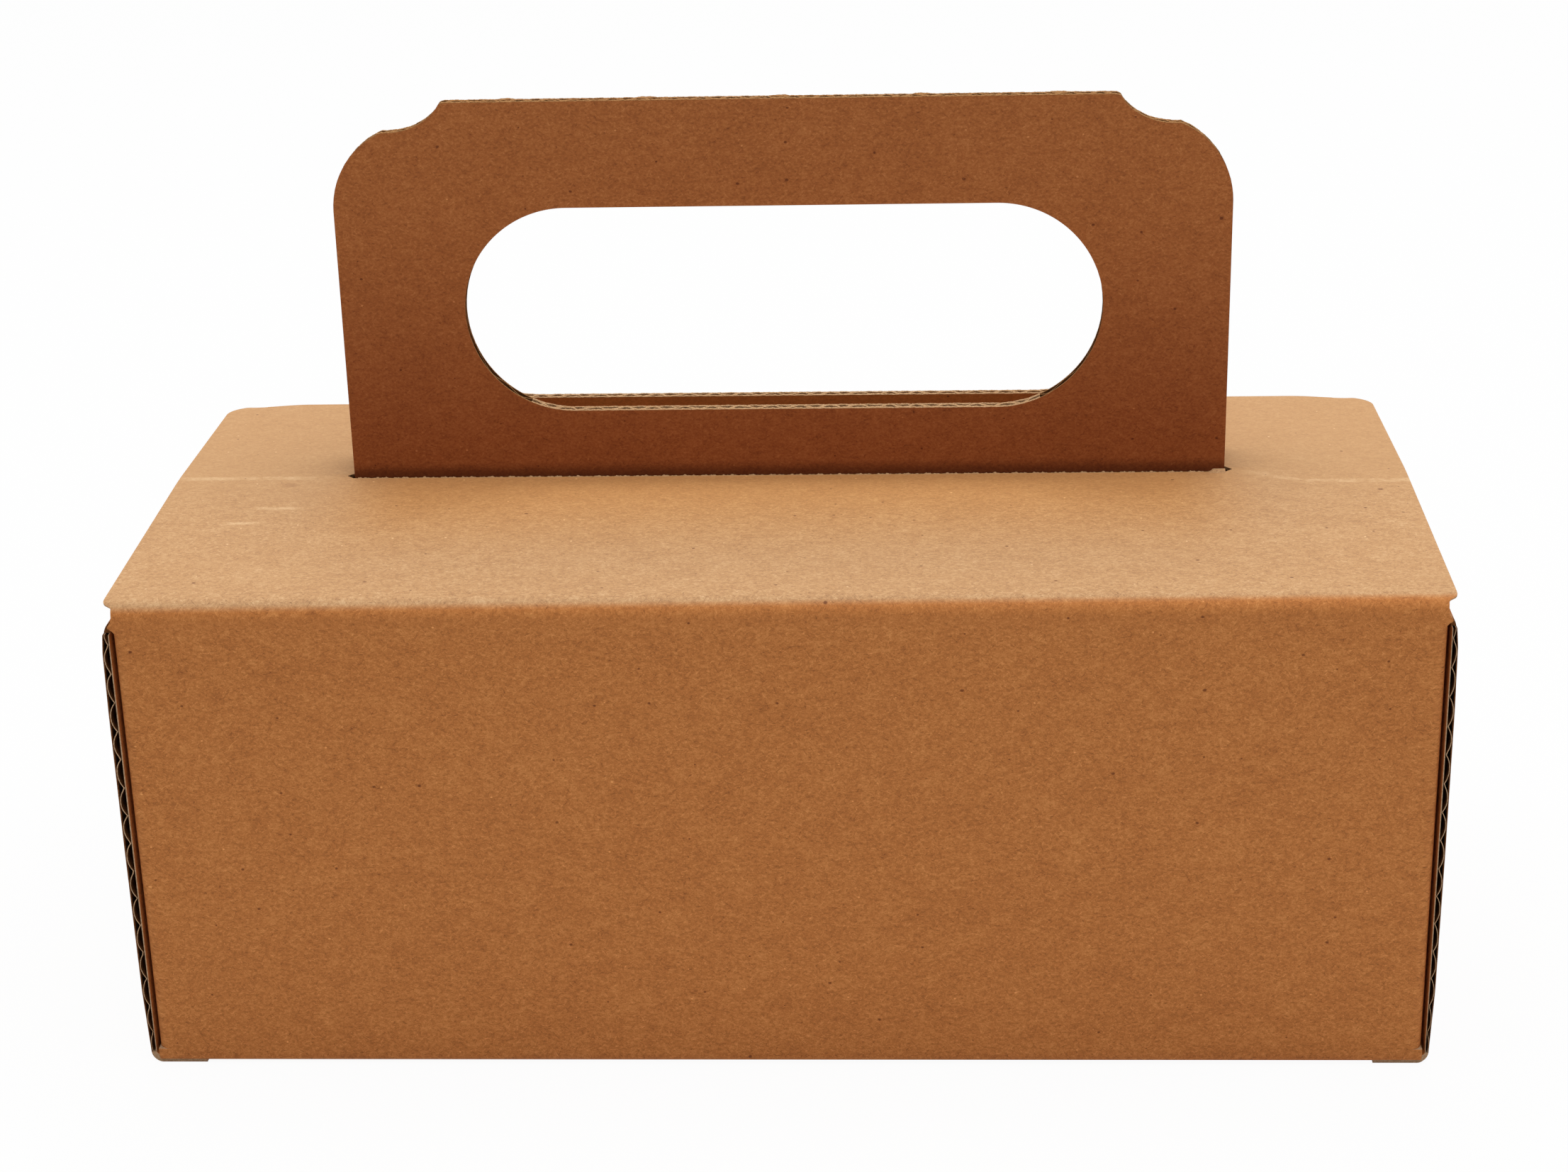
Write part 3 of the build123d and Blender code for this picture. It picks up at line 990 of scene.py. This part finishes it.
def lid_crease_highlight_and_scuffs(n, across, along_sheet):
    """A painted highlight along the pressed crease beside the slot, with the scuffs and stains."""
    crease = lid_fold.find(0, crease_y)
    # Painted highlight: a pale band along the crease line, where the bent board catches the light.
    dip = n.math("MULTIPLY", n.smooth(across, 51.5, 60.0), 3.3)
    line = n.near(n.total(along_sheet, dip), crease + 0.2, 0.9)
    outside = n.smooth(n.math("ABSOLUTE", across), 50.5, 57.0)
    uneven = n.smooth(n.noise((0.5, 0.5, 1.0), (7, 2, 0)), 0.25, 0.65)
    highlight_and_marks = n.product(line, outside, uneven, 0.45)
    for x, y, long, tall, amount in lid_spots:
        spot = n.product(n.near(across, x, long), n.near(along_sheet, lid_fold.find(0, y), tall))
        highlight_and_marks = n.total(highlight_and_marks, n.product(spot, amount))
    return highlight_and_marks


def lid_painted_handle_shade(n, across, along_sheet):
    """Painted shade with a warm painted reflection of the handle, on the lid just before the
    handle.
    """
    crease = lid_fold.find(0, crease_y)
    reach = n.product(
        n.smooth(along_sheet, crease - 28.0, crease - 3.0),
        n.math("SUBTRACT", 1.0, n.smooth(n.math("ABSOLUTE", across), 42.0, 56.0)),
        n.math("LESS_THAN", along_sheet, crease + 1.5),
    )
    return n.mix(reach, (1, 1, 1, 1), (1.05, 0.91, 0.68, 1))


def handle_painted_foot_shadow(n, across, along_sheet):
    """A painted shadow: the dark line where the panels leave the lid."""
    return n.mix(n.smooth(along_sheet, 16.7, 18.4), (0.45, 0.38, 0.33, 1), (1, 1, 1, 1))


# Painted light: the lid's colour is the walls' kraft made lighter and paler, for the top light and
# sheen on the lid.
wall_colour = (0.60, 0.216, 0.056, 1)
lid_lit_colour = (0.622, 0.350, 0.164, 1)
handle_colour = (0.4575, 0.151, 0.041, 1)
# Painted shade: the handle's colour darkens to this towards its feet, where the lid shades the
# panels.
handle_foot_shade_colour = (0.345, 0.100, 0.028, 1)
# Painted light: a lighter, brighter paper for the back panel's face towards the hand hole, in place
# of its shade.
handle_inside_lit_colour = (0.78, 0.24, 0.052, 1)
cut_paper = raw_edge("cut_kraft", (0.42, 0.24, 0.12, 1), (0.66, 0.46, 0.29, 1))
lip_paper = raw_edge("lip_kraft", (0.46, 0.25, 0.11, 1), (0.78, 0.50, 0.28, 1))
handle_cut = raw_edge("handle_cut_kraft", (0.26, 0.105, 0.034, 1), (0.52, 0.28, 0.115, 1))
lid_cut = raw_edge("lid_cut_kraft", (0.50, 0.27, 0.12, 1), (0.66, 0.40, 0.21, 1))
# Painted shade: the insides of the flutes are near-black, for the shade deep inside the tubes.
flute_shade_paper = raw_edge("flute_shade_kraft", (0.10, 0.036, 0.011, 1), (0.20, 0.075, 0.024, 1))
# Painted shade: dark paper for the cut edges of the side walls' outer liner, roll-over and inner
# wall, for the shadow they lie in.
side_edge_shade_paper = raw_edge("side_edge_shade_kraft", (0.10, 0.036, 0.011, 1), (0.30, 0.12, 0.04, 1))
wall_paper = kraft("wall_kraft", wall_colour, 1.4)
lid_paper = kraft(
    "lid_kraft", lid_lit_colour, 1.05, highlight_and_marks=lid_crease_highlight_and_scuffs, painted_shade=lid_painted_handle_shade, calm=(24.0, 42.0, 0.5),
)
# Painted light and shade: the fold's colour goes from the lid's lighter colour on its upper bend to
# the wall's colour below it.
fold_paper = kraft("fold_kraft", lid_lit_colour, 1.2, other=(wall_colour, 1.78, 2.6, 0.0045))
# Painted shade on the handle: darker towards the feet, with a painted shadow line where it leaves
# the lid.
handle_paper = kraft(
    "handle_kraft", handle_colour, 1.35, other=(handle_foot_shade_colour, 20.0, 52.0, 0.0),
    painted_shade=handle_painted_foot_shadow,
)
handle_inside_lit_paper = kraft("handle_inside_lit_kraft", handle_inside_lit_colour, 0.8)

tray = tray_sheet([wall_paper, cut_paper, flute_shade_paper, side_edge_shade_paper])
lid = lid_sheet([lid_paper, lid_cut, flute_shade_paper])
hinge_fold = fold_sheet([fold_paper, lid_cut])
handle = handle_sheet([handle_paper, handle_cut, flute_shade_paper, lip_paper, handle_inside_lit_paper])

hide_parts("box_tray")
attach(tray, "tray")
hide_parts("lid")
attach(lid, "lid_with_handle")
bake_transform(hinge_fold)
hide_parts("carry_handle")
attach(handle, "lid_with_handle")


# Stage, light and camera


def stage_material():
    """White to the camera, with the object's soft shadow kept."""
    n = Nodes("stage_white")
    n.shader.inputs["Base Color"].default_value = (0.9, 0.9, 0.9, 1)
    n.shader.inputs["Roughness"].default_value = 1.0
    n.shader.inputs["Specular IOR Level"].default_value = 0.0
    glow = n.add("ShaderNodeEmission")
    glow.inputs[0].default_value = (1, 1, 1, 1)
    path = n.add("ShaderNodeLightPath")
    seen = n.math("MAXIMUM", path.outputs["Is Camera Ray"], path.outputs["Is Glossy Ray"])
    seen = n.math("MAXIMUM", seen, path.outputs["Is Transmission Ray"])
    share = n.math("MULTIPLY", seen, 0.95)
    mix = n.add("ShaderNodeMixShader")
    n.tree.links.new(share, mix.inputs[0])
    n.tree.links.new(n.shader.outputs[0], mix.inputs[1])
    n.tree.links.new(glow.outputs[0], mix.inputs[2])
    output = n.tree.nodes["Material Output"]
    n.tree.links.new(mix.outputs[0], output.inputs["Surface"])
    return n.material


def stage_floor():
    size = 6.0
    mesh = bpy.data.meshes.new("floor")
    corners = [(-size, -size, 0), (size, -size, 0), (size, size, 0), (-size, size, 0)]
    mesh.from_pydata(corners, [], [(0, 1, 2, 3)])
    mesh.materials.append(stage_material())
    floor = bpy.data.objects.new("floor", mesh)
    bpy.context.scene.collection.objects.link(floor)


def area_lamp(name, place, target, size, power):
    lamp = bpy.data.lights.new(name, "AREA")
    lamp.shape = "RECTANGLE"
    lamp.size, lamp.size_y = size
    lamp.energy = power
    obj = bpy.data.objects.new(name, lamp)
    direction = (Vector(target) - Vector(place)).to_track_quat("-Z", "Y")
    obj.location = place
    obj.rotation_mode = "QUATERNION"
    obj.rotation_quaternion = direction
    bpy.context.scene.collection.objects.link(obj)


def world_light(strength):
    world = bpy.data.worlds.new("studio")
    bpy.context.scene.world = world
    world.use_nodes = True
    tree = world.node_tree
    back = tree.nodes["Background"]
    back.inputs[0].default_value = (1, 1, 1, 1)
    path = tree.nodes.new("ShaderNodeLightPath")
    seen = tree.nodes.new("ShaderNodeMath")
    seen.operation = "MAXIMUM"
    tree.links.new(path.outputs["Is Camera Ray"], seen.inputs[0])
    tree.links.new(path.outputs["Is Glossy Ray"], seen.inputs[1])
    level = tree.nodes.new("ShaderNodeMapRange")
    tree.links.new(seen.outputs[0], level.inputs[0])
    level.inputs[3].default_value = strength
    level.inputs[4].default_value = 1.0
    tree.links.new(level.outputs[0], back.inputs[1])


def studio_camera():
    data = bpy.data.cameras.new("camera")
    data.sensor_width = sensor_width
    data.lens = focal_pixels * sensor_width / photo_width
    data.clip_start, data.clip_end = 0.01, 50.0
    camera = bpy.data.objects.new("camera", data)
    pitch, yaw, roll = (math.radians(a) for a in (camera_pitch, camera_yaw, camera_roll))
    ahead = math.cos(pitch)
    forward = np.array((math.sin(yaw) * ahead, math.cos(yaw) * ahead, -math.sin(pitch)))
    level = np.array((math.cos(yaw), -math.sin(yaw), 0.0))
    down = np.cross(forward, level)
    right = math.cos(roll) * level + math.sin(roll) * down
    below = -math.sin(roll) * level + math.cos(roll) * down
    turn = Matrix((right, -below, -forward)).transposed()
    camera.matrix_world = turn.to_4x4()
    camera.location = [v * MM for v in camera_place]
    bpy.context.scene.collection.objects.link(camera)
    bpy.context.scene.camera = camera


stage_floor()
area_lamp("top_softbox", (0.05, 0.05, 1.1), (0, 0, 0.05), (1.6, 1.4), 16.5)
world_light(0.14)
studio_camera()
bpy.context.scene.view_settings.view_transform = "Standard"
